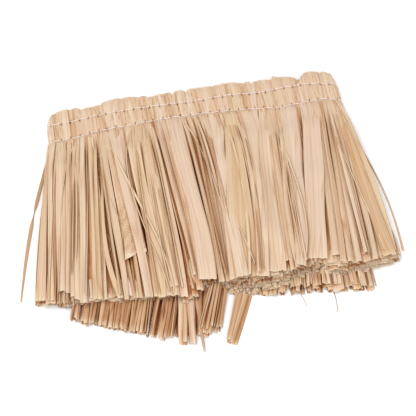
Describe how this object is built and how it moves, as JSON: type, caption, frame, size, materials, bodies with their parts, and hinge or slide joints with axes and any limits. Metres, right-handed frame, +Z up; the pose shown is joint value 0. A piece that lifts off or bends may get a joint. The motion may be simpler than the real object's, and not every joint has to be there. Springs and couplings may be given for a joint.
{
  "type": "grass skirt",
  "caption": "Short natural raffia grass skirt lying flat, with a gathered ring waistband and a fanned fringe of strands.",
  "frame": {"origin": "middle of the underside, on the surface that the skirt lies on, near the middle of its length", "axes": "+X along the waistband, +Y from the hem to the waist, +Z up from the surface"},
  "size_m": [0.4963, 0.3794, 0.032],
  "materials": {
    "heading": "matt gathered raffia, pale straw, with a faint lengthwise grain",
    "raffia_front": "dry raffia strips, straw to pinkish tan, a soft low sheen along the grain",
    "raffia_back": "dry raffia strips in shade, tan",
    "raffia_under": "hidden raffia strands, darker tan, matt"
  },
  "bodies": {
    "root": {"waistband": "heading", "under_layers": "raffia_under", "fringe_front_under": "raffia_front", "fringe_front_mid": "raffia_front", "fringe_front_top": "raffia_front", "fringe_back_lower": "raffia_back", "fringe_back_upper": "raffia_back"}
  },
  "joints": []
}
